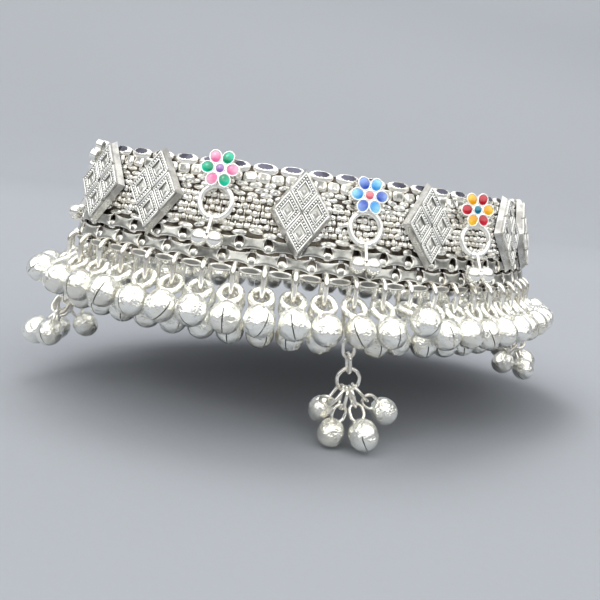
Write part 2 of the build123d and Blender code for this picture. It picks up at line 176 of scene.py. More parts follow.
silverLooks = {  # rough: bright places, then dull; patch, grain, ripple: fineness and strength
    "wovenSilver": {
        "metal": 0.72, "bright": (254, 252, 246), "dull": (222, 215, 200), "rough": (0.14, 0.32),
        "patch": (260, 0.6), "grain": (2600, 0.06), "ripple": (700, 0.16),
    },
    # painted reflection: flat cut faces take the same silver painted darker, for the dark
    # surroundings they mirror
    "facetPaintedReflection": {
        "metal": 0.6, "bright": (184, 184, 178), "dull": (112, 112, 108), "rough": (0.12, 0.3),
        "patch": (330, 0.8), "grain": (2600, 0.02), "ripple": (500, 0.06),
    },
    # painted reflection: the flat tops of the top chain take the same silver painted dark
    # blue-grey, for the surroundings they mirror
    "lensPaintedReflection": {
        "metal": 1.0, "bright": (100, 100, 114), "dull": (58, 58, 68), "rough": (0.14, 0.3),
        "patch": (300, 0.8), "grain": (2600, 0.01), "ripple": (400, 0.03),
    },
    # painted shade: the core is the same silver painted dark taupe, for the shade that falls
    # behind the weave
    "corePaintedShade": {
        "metal": 1.0, "bright": (88, 82, 74), "dull": (38, 34, 30), "rough": (0.3, 0.55),
        "patch": (520, 0.9), "grain": (2000, 0.1), "ripple": (800, 0.25),
    },
    # painted shade: the same silver painted near black, for the shade in the pits and openings of
    # the core and on the floors of the bead channels
    "paintedShadeSilver": {
        "metal": 1.0, "bright": (44, 39, 35), "dull": (20, 17, 15), "rough": (0.4, 0.6),
        "patch": (500, 0.5), "grain": (1800, 0.04), "ripple": (700, 0.08),
    },
    "castSilver": {
        "metal": 0.7, "bright": (204, 203, 199), "dull": (136, 134, 130), "rough": (0.24, 0.4),
        "patch": (420, 0.7), "grain": (2600, 0.02), "ripple": (600, 0.05),
    },
    "trimSilver": {
        "metal": 0.62, "bright": (255, 255, 251), "dull": (236, 233, 225), "rough": (0.12, 0.24),
        "patch": (300, 0.4), "grain": (2600, 0.006), "ripple": (500, 0.02),
    },
    "flowerSilver": {
        "metal": 0.75, "bright": (255, 254, 249), "dull": (234, 229, 218), "rough": (0.1, 0.24),
        "patch": (200, 0.35), "grain": (2600, 0.02), "ripple": (500, 0.06),
    },
    "wireSilver": {
        "metal": 0.85, "bright": (252, 250, 243), "dull": (206, 198, 182), "rough": (0.12, 0.26),
        "patch": (300, 0.6), "grain": (2800, 0.02), "ripple": (700, 0.06),
    },
    "bellSilver": {
        "metal": 0.86, "bright": (255, 255, 249), "dull": (226, 221, 205), "rough": (0.06, 0.16),
        "patch": (150, 0.5), "grain": (2400, 0.3), "ripple": (520, 1.1),
    },
    "plainSilver": {
        "metal": 1.0, "bright": (246, 245, 240), "dull": (204, 200, 190), "rough": (0.22, 0.38),
        "patch": (180, 0.4), "grain": (2600, 0.01), "ripple": (300, 0.02),
    },
}
silverSurface = {  # what all the silver shares
    "patchEdge": (0.42, 0.68),  # noise levels where a dull patch starts and is full
    "smearFineness": 4,  # times that of the patches
    "smearStretch": (1, 1, 2.5),
    "patchWear": 0.6,  # shares of the roughness that come from the patches and the smears
    "smearWear": 0.4,
    "details": (3.0, 2.0, 2.0, 1.0),  # of patches, smears, grain and ripple
    "bump": (0.6, 0.001),  # strength and depth
}


def silverFinish(name, looks, surface):
    finish = Finish(name)
    patchDetail, smearDetail, grainDetail, rippleDetail = surface["details"]
    fineness, strength = looks["patch"]
    patches = finish.range(finish.noise(fineness, patchDetail), *surface["patchEdge"])
    smears = finish.noise(fineness * surface["smearFineness"], smearDetail,
                          surface["smearStretch"])
    colour = finish.mix(patches * strength, tone(*looks["bright"]), tone(*looks["dull"]))
    wear = patches * surface["patchWear"] + smears * surface["smearWear"]
    smooth, rough = looks["rough"]
    grain, grainDepth = looks["grain"]
    ripple, rippleDepth = looks["ripple"]
    height = finish.noise(grain, grainDetail) * grainDepth
    height += finish.noise(ripple, rippleDetail) * rippleDepth
    return finish.shader({
        "Base Color": colour, "Metallic": looks["metal"],
        "Roughness": smooth + (rough - smooth) * wear,
        "Normal": finish.bump(height, *surface["bump"]),
    })


enamelColours = {  # the enamel's own colours, deep and pale; the run from deep by the heart of the flower to pale at the tip is painted shading, and the hearts take a mix, deep at the foot and pale at the top
    "sky": ((36, 150, 232), (160, 228, 252)),
    "navy": ((48, 84, 190), (140, 172, 238)),
    "rose": ((214, 84, 104), (244, 160, 168)),
    "red": ((172, 6, 30), (208, 44, 66)),
    "yellow": ((238, 160, 0), (252, 205, 60)),
    "teal": ((0, 100, 140), (0, 150, 170)),
    "green": ((0, 150, 105), (20, 205, 165)),
    "pink": ((236, 110, 165), (250, 185, 210)),
    "violet": ((140, 95, 170), (185, 150, 205)),
}
enamelSurface = {
    "cloud": (900, 0.5),  # fineness of the cloudy colour, and how far it moves the shade
    "tipEdge": (0.15, 0.95),
    "rimEdge": (0.7, 1.0),
    "rimPaintedSheen": (0.35, 0.55, 110),  # painted sheen: strength at the rim, share kept of the pale tone, and lift
    "rough": (0.12, 0.08),
    "glass": 1.5,
    "coat": (0.4, 0.04),
    "ripple": (1100, 1.0),  # fineness and detail
    "bump": (0.1, 0.0003),
}


def enamelFinish(name, looks):
    deep, pale = enamelColours[name]
    finish = Finish("enamel_" + name)
    tip = finish.node("ShaderNodeAttribute", {"attribute_name": "tipShare"}, output=2)
    rim = finish.node("ShaderNodeAttribute", {"attribute_name": "rimShare"}, output=2)
    fineness, drift = looks["cloud"]
    cloud = finish.noise(fineness)
    # painted shading: the shade of each pool moves from deep to pale along it, with a cloudy drift
    share = finish.range(tip + (cloud - 0.5) * drift, *looks["tipEdge"])
    body = finish.mix(share, tone(*deep), tone(*pale))
    # painted sheen: each pool is painted paler towards its rim
    strength, kept, lift = looks["rimPaintedSheen"]
    edge = finish.range(rim, *looks["rimEdge"]) * strength
    smooth, rough = looks["rough"]
    coat, coatRough = looks["coat"]
    return finish.shader({
        "Base Color": finish.mix(edge, body, tone(*(kept * c + lift for c in pale))),
        "Roughness": smooth + cloud * rough, "IOR": looks["glass"],
        "Coat Weight": coat, "Coat Roughness": coatRough,
        "Normal": finish.bump(finish.noise(*looks["ripple"]), *looks["bump"]),
    })


finishes = {name: silverFinish(name, looks, silverSurface) for name, looks in silverLooks.items()}
print("finishes made:", len(finishes))

wall = {  # mm and degrees, as the solid band has them
    "halfLength": 53.0,
    "halfDepth": 31.4,
    "endRadius": 12.5,
    "flare": 14.0,
    "low": -10.0,
    "rings": 48,
    "motifStart": -1.7,
    "motifPitch": 2.5,
    "motifLifts": {0: -0.8, 1.85: -1.1, -2.07: 0.4, -0.9: -0.5},  # above the row of the rest
    "clasp": 1.1,  # how far the ends of the band sit in the clasp
    "face": 0.88,  # how far the front of the weave stands out from the middle of the wall
    "nudge": 0.01,  # a short way along the wall, to find its directions
}
endRadius = wall["endRadius"]
flare = math.radians(wall["flare"])
endCentre = wall["halfLength"] - endRadius
frontRadius = ((endCentre ** 2 + wall["halfDepth"] ** 2 - endRadius ** 2)
               / (2 * (wall["halfDepth"] - endRadius)))
frontCentre = frontRadius - wall["halfDepth"]
frontTurn = math.atan2(endCentre, frontCentre)
frontRun = frontTurn * frontRadius
endRun = (math.pi - 2 * frontTurn) * endRadius
loopLength = 4 * frontRun + 2 * endRun
pitch = loopLength / wall["rings"]
bandStop = loopLength / 2 - wall["clasp"]
ringNumbers = range(-wall["rings"] // 2, wall["rings"] // 2)
ringRuns = [(number + 0.5) * pitch for number in ringNumbers]
betweenRuns = [number * pitch for number in ringNumbers[1:]]


def onWall(points):
    # points of run along the band, height above its lower edge and distance out, on the loop
    run = (points[:, 0] + loopLength / 2) % loopLength - loopLength / 2
    side = np.where(run >= 0, 1.0, -1.0)
    distance = np.abs(run)
    atFront = distance <= frontRun
    atEnd = ~atFront & (distance <= frontRun + endRun)
    turn = np.where(
        atFront, distance / frontRadius,
        np.where(atEnd, frontTurn + (distance - frontRun) / endRadius,
                 math.pi - (loopLength / 2 - distance) / frontRadius))
    radius = np.where(atEnd, endRadius, frontRadius)
    centreX = np.where(atEnd, endCentre, 0.0)
    centreY = np.where(atFront, frontCentre, np.where(atEnd, 0.0, -frontCentre))
    reach = radius - points[:, 1] * math.tan(flare) + points[:, 2] * math.cos(flare)
    level = wall["low"] + points[:, 1] + points[:, 2] * math.sin(flare)
    across = side * (centreX + reach * np.sin(turn))
    return np.column_stack((across, centreY - reach * np.cos(turn), level)) * mm


def flatPlane(place, height, out):
    # middle and axes of the flat plane that touches the wall at a motif's place
    run = wall["motifStart"] + place * wall["motifPitch"] * pitch
    height += wall["motifLifts"].get(place, 0)
    nudge = wall["nudge"]
    spots = [(run, height, out), (run + nudge, height, out), (run, height + nudge, out)]
    spot, along, up = onWall(np.array(spots))
    xAxis = (along - spot) / np.linalg.norm(along - spot)
    yAxis = (up - spot) / np.linalg.norm(up - spot)
    return spot, np.array((xAxis, yAxis, np.cross(xAxis, yAxis)))


def newObject(name, points, faces, materials):
    mesh = bpy.data.meshes.new(name)
    mesh.from_pydata(points, [], faces)
    for material in materials:
        mesh.materials.append(material)
    made = bpy.data.objects.new(name, mesh)
    bpy.context.scene.collection.objects.link(made)
    return made


class Heap:
    # many small closed shapes gathered into one mesh
    def __init__(self):
        self.points = []
        self.faces = []
        self.kinds = []
        self.extras = {}
        self.count = 0

    def add(self, points, faces, kinds, **extras):
        self.points.append(points)
        self.faces += [tuple(corner + self.count for corner in face) for face in faces]
        self.kinds += kinds
        for name, values in extras.items():
            self.extras.setdefault(name, []).append(values)
        self.count += len(points)

    def lay(self, plane, shape, shift=(0, 0, 0), **extras):
        # a shape in mm on a plane, moved by the shift within it
        spot, axes = plane
        points, faces, kinds = shape
        self.add(spot + (points + shift) @ axes * mm, faces, kinds, **extras)

    def piece(self, name, materials, slot, node=None, smooth=True):
        piece = newObject(name, np.concatenate(self.points).tolist(), self.faces, materials)
        mesh = piece.data
        mesh.polygons.foreach_set("material_index", self.kinds)
        mesh.polygons.foreach_set("use_smooth", [smooth] * len(self.faces))
        for key, values in self.extras.items():
            layer = mesh.attributes.new(key, "FLOAT", "POINT")
            layer.data.foreach_set("value", np.concatenate(values).astype(np.float32))
        mesh.validate()
        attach(piece, "root")
        if node:
            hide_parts(node)
        print(name, "with", len(self.faces), "faces")


def bridge(low, high, around, flip=False):
    # faces between two rings of points, each named by the number of its first point
    faces = [(low + step, low + (step + 1) % around, high + (step + 1) % around, high + step)
             for step in range(around)]
    return [(a, d, c, b) for a, b, c, d in faces] if flip else faces


def fan(tip, ring, around, flip=False):
    faces = [(tip, ring + step, ring + (step + 1) % around) for step in range(around)]
    return [(a, c, b) for a, b, c in faces] if flip else faces


def link(half, sides, block=(1.0, 1.0, 1.0), facet=None, **others):
    # a rounded link; below 1 the block values square it up, and the facet is a flat cut;
    # the others are for scatter
    around, across = sides
    points = []

    def signed(value, power):
        return math.copysign(abs(value) ** power, value)

    for row in range(1, across):
        climb = math.pi * (row / across - 0.5)
        width = signed(math.cos(climb), block[2])
        for step in range(around):
            turn = 2 * math.pi * step / around
            points.append((half[0] * width * signed(math.cos(turn), block[0]),
                           half[1] * width * signed(math.sin(turn), block[1]),
                           half[2] * signed(math.sin(climb), block[2])))
    points += [(0, 0, -half[2]), (0, 0, half[2])]
    last = (across - 2) * around
    faces = fan(last + around, 0, around, True) + fan(last + around + 1, last, around)
    for row in range(across - 2):
        faces += bridge(row * around, (row + 1) * around, around)
    points = np.array(points)
    kinds = [0] * len(faces)
    if facet:
        way, reach = facet
        way = np.array(way, float) / np.linalg.norm(way)
        beyond = points @ way - reach
        cut = beyond > -1e-6
        points = points - np.where(cut, beyond, 0)[:, None] * way
        kinds = [int(all(cut[corner] for corner in face)) for face in faces]
    return points, faces, kinds


def starPlate(half, dip, thick, bevel, dome, heart, perSide, **others):
    # a plate with four pointed corners and hollow sides, lying on its back
    shares = [-1 + 2 * step / perSide for step in range(perSide)]
    outline = [(half[0] * share, -half[1] + dip[1] * (1 - share * share)) for share in shares]
    outline += [(half[0] - dip[0] * (1 - share * share), half[1] * share) for share in shares]
    outline = np.array(outline + [(-x, -y) for x, y in outline])
    count = len(outline)
    inner = outline * (1 - bevel / np.array(half))
    size, rise = heart
    levels = ((outline, 0), (outline, thick - bevel), (inner, thick),
              (inner * size, thick + dome * rise))
    rings = [np.column_stack((ring, np.full(count, float(level)))) for ring, level in levels]
    points = np.concatenate(rings + [np.array([[0, 0, 0], [0, 0, thick + dome]])])
    faces = fan(4 * count, 0, count, True)
    for ring in range(3):
        faces += bridge(ring * count, (ring + 1) * count, count)
    faces += fan(4 * count + 1, 3 * count, count)
    return points, faces, [0] * 3 * count + [1] * 2 * count  # its face takes the second finish, painted darker as a reflection


looseness = {"roll": 0.5, "jog": 0.8}  # share of the tilt, and mm to a vary of 1


def scatter(heap, shape, looks, places, outward=1):
    # copies of one shape at (run, height, out) on the wall, each a little turned and resized
    points, faces, kinds = shape
    if outward < 0:
        faces = [face[::-1] for face in faces]
    vary = looks.get("vary", 0.0)
    for run, height, out in places:
        if abs(run) >= bandStop - looks.get("clear", 0.0):
            continue
        spot = points * chance.uniform(1 - vary, 1 + vary, 3) if vary else points
        roll, tiltX, tiltY = np.radians(chance.normal(0, looks["tilt"], 3))
        roll *= looseness["roll"]
        spot = spot @ np.array(Matrix.Rotation(roll, 3, "Z") @ Matrix.Rotation(tiltX, 3, "X")
                               @ Matrix.Rotation(tiltY, 3, "Y")).T
        jog = chance.uniform(-vary, vary, 2) * looseness["jog"]
        spot = spot * (1, 1, outward) + (run + jog[0], height + jog[1], out * outward)
        spot[:, 0] = np.clip(spot[:, 0], -bandStop, bandStop)
        heap.add(onWall(spot), faces, kinds)


bandCoreLooks = {  # mm above the lower edge; openings: place in a pitch, half width, low and high
    "levels": (0.35, 10.0, 19.2),
    "holes": ((0.5, 0.65, 0.8, 2.6), (0.0, 0.6, 3.9, 4.8)),
    # the pits are thin places of the core, painted near black as the shade of holes
    "pits": ((0.5, 0.5, 5.65, 6.5), (0.25, 0.3, 15.45, 16.0), (0.75, 0.3, 15.45, 16.0),
             (0.0, 0.4, 17.9, 18.3), (0.0, 0.22, 8.0, 13.4), (0.25, 0.22, 8.0, 13.4),
             (0.5, 0.22, 8.0, 13.4), (0.75, 0.22, 8.0, 13.4)),
    "half": 0.42,  # thickness out from the middle of the wall
    "pitHalf": 0.08,
}


def bandCore(looks):
    # the layer behind the weave, painted dark as shade; thin and painted near black as shade at
    # its pits and on the walls of its openings, and open at its holes
    openings = [(*hole, 0.0) for hole in looks["holes"]]
    openings += [(*pit, looks["pitHalf"]) for pit in looks["pits"]]
    runs, levels = {-bandStop, bandStop}, set(looks["levels"])
    for place, half, low, high, depth in openings:
        levels |= {low, high}
        for number in range(ringNumbers[0] - 1, ringNumbers[-1] + 2):
            runs |= {(number + place) * pitch - half, (number + place) * pitch + half}
    runs = [run for run in sorted(runs) if -bandStop <= run <= bandStop]
    levels = sorted(levels)

    def depthAt(column, row):
        if not (0 <= column < len(runs) - 1 and 0 <= row < len(levels) - 1):
            return 0.0
        run = (runs[column] + runs[column + 1]) / 2 / pitch
        level = (levels[row] + levels[row + 1]) / 2
        for place, half, low, high, depth in openings:
            if low < level < high and abs((run - place + 0.5) % 1 - 0.5) * pitch < half:
                return depth
        return looks["half"]

    points, faces, kinds, known = [], [], [], {}

    def corner(column, row, out):
        key = (column, row, round(out, 4))
        if key not in known:
            known[key] = len(points)
            points.append((runs[column], levels[row], out))
        return known[key]

    def panel(kind, *corners):
        faces.append(tuple(corner(*one) for one in corners))
        kinds.append(kind)

    for row in range(len(levels) - 1):
        for column in range(len(runs) - 1):
            depth = depthAt(column, row)
            if not depth:
                continue
            square = ((column, row), (column + 1, row), (column + 1, row + 1), (column, row + 1))
            kind = int(depth < looks["half"])
            panel(kind, *((*spot, depth) for spot in square))
            panel(kind, *((*spot, -depth) for spot in square[::-1]))
            borders = (((column - 1, row), square[3], square[0]),
                       ((column + 1, row), square[1], square[2]),
                       ((column, row - 1), square[0], square[1]),
                       ((column, row + 1), square[2], square[3]))
            for neighbour, first, second in borders:
                beyond = depthAt(*neighbour)
                if beyond >= depth:
                    continue
                steps = ((depth, beyond), (-beyond, -depth)) if beyond else ((depth, -depth),)
                for high, low in steps:
                    panel(1, (*first, high), (*first, low), (*second, low), (*second, high))
    heap = Heap()
    heap.add(onWall(np.array(points)), faces, kinds)
    heap.piece("band_core", [finishes["corePaintedShade"], finishes["paintedShadeSilver"]], "woven_silver",
               "woven_band", smooth=False)


weave = {  # mm above the lower edge; tilt in degrees, vary as a share, clear: mm from the clasp;
    # heart: share and rise of the inner plate of a star
    "starHeights": (2.75, 5.45),
    "star": {"half": (2.5, 1.28), "dip": (0.62, 0.4), "thick": 0.5, "bevel": 0.17, "dome": 0.03,
             "heart": (0.5, 0.8), "perSide": 5, "tilt": 4},
    "nubRows": ((2.2, (0.95, 1.0, 0.62)), (4.75, (1.0, 0.85, 0.62))),  # height and half sizes
    "nub": {"sides": (10, 6), "block": (0.75, 0.75, 1.0), "facet": ((0, 0, 1), 0.4464), "tilt": 5},
    "almondRows": ((7.05, 0.5, 1.75), (7.6, 0.0, 1.5), (14.05, 0.2, 1.4), (14.05, 0.7, 1.3),
                   (14.95, 0.0, 1.3), (14.95, 0.48, 1.4), (15.8, 0.26, 1.35),
                   (15.8, 0.77, 1.3)),  # height, share of a pitch along, half length
    "almondHalf": (0.56, 0.46),
    "almond": {"sides": (12, 6), "block": (1.1, 0.9, 1.0), "facet": ((0, 0.3, 0.95), 0.3036),
               "tilt": 9, "vary": 0.16, "clear": 0.8},
    "pillowHeight": 17.2,
    "pillow": {"half": (1.36, 1.0, 0.62), "sides": (14, 8), "block": (0.5, 0.5, 0.8),
               "facet": ((0, 0.1, 0.99), 0.5332), "tilt": 6, "vary": 0.08},
}


def bandWeave(looks, name, outward):
    # star plates with nubs between them, almonds and the square links under the top chain
    heap = Heap()
    face = wall["face"]
    star = starPlate(**looks["star"])
    for height, runs in zip(looks["starHeights"], (ringRuns, betweenRuns)):
        spots = [(run, height, face - looks["star"]["thick"]) for run in runs]
        scatter(heap, star, looks["star"], spots, outward)
    for (height, half), runs in zip(looks["nubRows"], (betweenRuns, ringRuns)):
        spots = [(run, height, face - half[2]) for run in runs]
        scatter(heap, link(half, **looks["nub"]), looks["nub"], spots, outward)
    for height, place, half in looks["almondRows"]:
        almond = link((half, *looks["almondHalf"]), **looks["almond"])
        sink = looks["almondHalf"][1]
        spots = [((number + place) * pitch, height, face - sink) for number in ringNumbers]
        scatter(heap, almond, looks["almond"], spots, outward)
    pillow = looks["pillow"]
    out = face - pillow["half"][2]
    spots = [(run, looks["pillowHeight"], out) for run in ringRuns + betweenRuns]
    scatter(heap, link(**pillow), pillow, spots, outward)
    heap.piece(name, [finishes["wovenSilver"], finishes["facetPaintedReflection"]], "woven_silver",
               "woven_band")


basket = {
    "low": 8.5,  # height of the lowest row
    "rows": 5,
    "rowPitch": 1.14,
    "along": 4,  # blocks to a jump ring
    "bar": {"half": (0.56, 0.5, 0.5), "sides": (10, 6), "block": (0.6, 0.65, 0.7),
            "tilt": 15, "vary": 0.2, "clear": 0.6},
    "post": {"half": (0.2, 0.66, 0.34), "sides": (6, 4), "block": (0.7, 0.7, 0.8),
             "tilt": 9, "vary": 0.1, "clear": 0.4},
    "postSink": 0.3,  # how far the posts lie behind the bars
}


def bandMesh(looks, name, outward):
    # the basket of small blocks through the middle of the band
    heap = Heap()
    along = pitch / looks["along"]
    columns = wall["rings"] * looks["along"]
    bar, post = looks["bar"], looks["post"]
    for row in range(looks["rows"]):
        height = looks["low"] + row * looks["rowPitch"]
        shift = (row % 2) * along / 2
        for kind, ahead, sink in ((bar, 0.5, 0), (post, 0, looks["postSink"])):
            out = wall["face"] - (kind["half"][2] + sink)
            spots = [((number - columns / 2 + ahead) * along + shift, height, out)
                     for number in range(columns)]
            scatter(heap, link(**kind), kind, spots, outward)
    heap.piece(name, [finishes["wovenSilver"]], "woven_silver", "woven_band")


edges = {
    "topHeight": 18.88,
    "top": {"half": (2.72, 1.12, 0.89), "sides": (36, 18), "block": (0.9, 0.9, 0.85),
            "facet": ((0, 0.35, 0.94), 0.75), "tilt": 1.5},
    "lowHeight": 0.68,
    "low": {"half": (2.62, 0.74, 0.82), "sides": (20, 10), "block": (0.85, 0.9, 0.9),
            "facet": ((0, -0.1, 0.99), 0.574), "tilt": 1.5},
}


def bandEdges(looks):
    # the chain along the top and the long links along the lower edge, as thick as the band
    heap = Heap()
    scatter(heap, link(**looks["top"]), looks["top"],
            [(run, looks["topHeight"], 0) for run in betweenRuns])
    points, faces, kinds = link(**looks["low"])
    low = points, faces, [2 * kind for kind in kinds]  # its cuts take the third finish, painted darker as a reflection
    scatter(heap, low, looks["low"], [(run, looks["lowHeight"], 0) for run in betweenRuns])
    heap.piece("band_edge_links",
               [finishes["wovenSilver"], finishes["lensPaintedReflection"], finishes["facetPaintedReflection"]],
               "woven_silver", "woven_band")


bandCore(bandCoreLooks)
bandWeave(weave, "band_weave_outside", 1)
bandWeave(weave, "band_weave_inside", -1)
bandMesh(basket, "band_mesh_outside", 1)
bandMesh(basket, "band_mesh_inside", -1)
bandEdges(edges)

diamonds = {  # mm; heights above the middle of the wall
    "places": (1, -0.9, 3, -3, 4, -4, 6, -6, 8, -8),
    "cell": (2.575, 3.8),  # half width and half height of each of its four small rhombi
    "middle": 12.2,  # above the lower edge of the band
    "base": 2.1,  # floor of the channels
    "rimTop": 2.62,
    "rims": ((0.9, 0.14), (0.5, 0.12)),  # share of a cell and half thickness of each raised rim
    "rimSink": 0.4,  # share of its half thickness
    "channel": 0.7,  # share of a cell where its beads run
    "perSide": 6,
    "bead": 0.27,
    "beadRise": 0.32,
    "sill": 0.34,  # share of a cell where the two bright bars at the foot of its window meet; the bars stand for the bright V highlight there
    "sillHalf": 0.14,
    "sillRise": 0.06,
    "strip": (0.87, 0.53, 2.14, 2.05),  # shares of a cell and heights of the floor of beads, painted dark as shade
    "pane": (0.44, 2.32, 0.1),  # share of a cell, height and rise of the plate in its window, painted grey as a reflection
}


def roundedBar(start, end, half, sides=8, tip=0.35, taper=0.06):
    # a bar with a rounded back between two points of a plate, pointed a little at its ends
    start, end = np.array(start, float), np.array(end, float)
    along = end - start
    across = np.array((-along[1], along[0], 0)) / np.linalg.norm(along[:2])
    points = []
    for middle, size in ((start, tip), (start + along * taper, 1), (end - along * taper, 1),
                         (end, tip)):
        for step in range(sides):
            turn = 2 * math.pi * step / sides
            out = across * math.cos(turn) + np.array((0, 0, 1)) * math.sin(turn)
            points.append(middle + out * half * size)
    faces = [tuple(range(sides)), tuple(3 * sides + step for step in reversed(range(sides)))]
    for ring in range(3):
        faces += bridge(ring * sides, (ring + 1) * sides, sides, True)
    return np.array(points), faces, [0] * len(faces)


def diamondTrim(looks):
    # rounded rims, the beads on their strips painted dark as shade, the tilted panes painted grey
    # as a reflection, and the sills under them, bright bars put in for the highlight at the foot
    # of each window
    beads, trim, panes, strips = Heap(), Heap(), Heap(), Heap()
    bead = link((looks["bead"],) * 3, (7, 5))
    cellX, cellY = looks["cell"]

    def corners(centre, share, level):
        return [(centre[0] + x * share * cellX, centre[1] + y * share * cellY, level)
                for x, y in ((1, 0), (0, 1), (-1, 0), (0, -1))]

    def cellTrim(plane, centre):
        for share, half in looks["rims"]:
            spots = corners(centre, share, looks["rimTop"] - half * looks["rimSink"])
            for start, end in zip(spots, spots[1:] + spots[:1]):
                trim.lay(plane, roundedBar(start, end, half))
        wide, narrow, top, foot = looks["strip"]
        points = [spot for level in (top, foot) for share in (wide, narrow)
                  for spot in corners(centre, share, level)]
        faces = []
        for n in range(4):
            after = (n + 1) % 4
            faces += [(n, after, 4 + after, 4 + n), (8 + n, 12 + n, 12 + after, 8 + after),
                      (8 + n, 8 + after, after, n), (12 + n, 4 + n, 4 + after, 12 + after)]
        strips.lay(plane, (np.array(points), faces, [0] * len(faces)))
        share, level, rise = looks["pane"]
        points = corners(centre, share, level) + corners(centre, share, looks["base"])
        points.append((*centre, level + rise))
        faces = [(n, (n + 1) % 4, 8) for n in range(4)] + [(7, 6, 5, 4)]
        faces += [(n + 4, (n + 1) % 4 + 4, (n + 1) % 4, n) for n in range(4)]
        panes.lay(plane, (np.array(points), faces, [0] * len(faces)))
        # painted highlight: two bright bars at the foot of each window stand for the V highlight
        spots = corners(centre, looks["sill"], level + looks["sillRise"])
        for start, end in ((spots[2], spots[3]), (spots[3], spots[0])):
            trim.lay(plane, roundedBar(start, end, looks["sillHalf"]))
        spots = np.array(corners(centre, looks["channel"], looks["base"] + looks["beadRise"]))
        for start, end in zip(spots, np.roll(spots, -1, 0)):
            for step in range(looks["perSide"]):
                beads.lay(plane, bead, start + (end - start) * step / looks["perSide"])

    for place in looks["places"]:
        plane = flatPlane(place, looks["middle"], 0)
        for centre in ((0, cellY), (0, -cellY), (cellX, 0), (-cellX, 0)):
            cellTrim(plane, centre)
    beads.piece("diamond_beads", [finishes["trimSilver"]], "cast_silver")
    trim.piece("diamond_rims", [finishes["trimSilver"]], "cast_silver")
    panes.piece("diamond_panes", [finishes["facetPaintedReflection"]], "cast_silver", smooth=False)
    strips.piece("diamond_strips", [finishes["paintedShadeSilver"]], "cast_silver", smooth=False)


diamondTrim(diamonds)

blueFlower = ("sky", "navy", "sky", "navy", "sky", "navy", "rose")  # petals, then the heart
redFlower = ("red", "yellow", "red", "yellow", "red", "yellow", "teal")
greenFlower = ("green", "pink", "green", "pink", "green", "pink", "violet")
flowers = {  # mm
    "middle": 17.0,  # above the lower edge of the band
    "stand": 1.45,
    "reach": 3.6,  # middle of a flower to the side of its cups
    "turns": {1.85: 22},  # degrees that a flower is turned towards the front
    "petalPlace": 2.35,
    "petalHalf": (1.17, 1.04),
    "heart": 0.85,
    "floor": 0.78,
    "edge": 1.16,
    "crown": 1.34,
    "dome": 2.4,  # power of the pools' curve, higher for flatter middles
    "rim": 0.14,  # thickness of the wire round each pool
    "rimGap": 0.05,
    "rimSides": (24, 6),  # along the wire and round it
    "hoop": (3.0, 0.52, -5.9, 0.1),  # radius, wire, drop and stand
    "hoopSides": (40, 12),
    "colours": {0: blueFlower, 1.85: redFlower, -2.07: greenFlower, 5: blueFlower,
                -5: redFlower, 7: greenFlower, -7: redFlower},
}


def pool(half, looks, around=20, layers=4):
    # glassy enamel in its cup, a little domed, with how far each point is to the rim
    floor, edge, crown = looks["floor"], looks["edge"], looks["crown"]
    turns = [2 * math.pi * step / around for step in range(around)]
    points, rim = [(0, 0, crown)], [0.0]
    for share in (layer / layers for layer in range(1, layers + 1)):
        level = edge + (crown - edge) * (1 - share ** looks["dome"])
        points += [(half[0] * share * math.cos(turn), half[1] * share * math.sin(turn), level)
                   for turn in turns]
        rim += [share] * around
    points += [(half[0] * math.cos(turn), half[1] * math.sin(turn), floor) for turn in turns]
    rim += [1.0] * around
    points.append((0, 0, floor))
    rim.append(0.0)
    faces = fan(0, 1, around) + fan(len(points) - 1, 1 + layers * around, around, True)
    for layer in range(layers):
        faces += bridge(1 + layer * around, 1 + (layer + 1) * around, around, True)
    return (np.array(points), faces, [0] * len(faces)), np.array(rim)


def planarTube(path, wire, sides=10):
    # a wire round a closed flat path
    path = np.array(path, float)
    ahead = np.roll(path, -1, 0) - np.roll(path, 1, 0)
    ahead /= np.linalg.norm(ahead, axis=1)[:, None]
    out = np.column_stack((ahead[:, 1], -ahead[:, 0], 0 * ahead[:, 0]))
    flat = np.column_stack((path, 0 * path[:, 0]))
    points, faces, count = [], [], len(path)
    for step in range(sides):
        turn = 2 * math.pi * step / sides
        points.append(flat + (out * math.cos(turn) + np.array((0, 0, math.sin(turn)))) * wire)
        faces += bridge(step * count, (step + 1) % sides * count, count)
    return np.concatenate(points), faces, [0] * len(faces)


def roundPath(steps, radiusX, radiusY=None, drop=0.0):
    turns = [2 * math.pi * step / steps for step in range(steps)]
    radiusY = radiusY or radiusX
    return [(radiusX * math.cos(turn), radiusY * math.sin(turn) - drop) for turn in turns]


def longPath(bend, length, steps=12):
    # two half turns and two straight legs, hanging down from y = 0
    turns = [math.pi * step / steps for step in range(steps + 1)]
    top = [(bend * math.cos(turn), bend * math.sin(turn) - bend) for turn in turns]
    foot = [(-bend * math.cos(turn), bend - length - bend * math.sin(turn)) for turn in turns]
    return top + foot


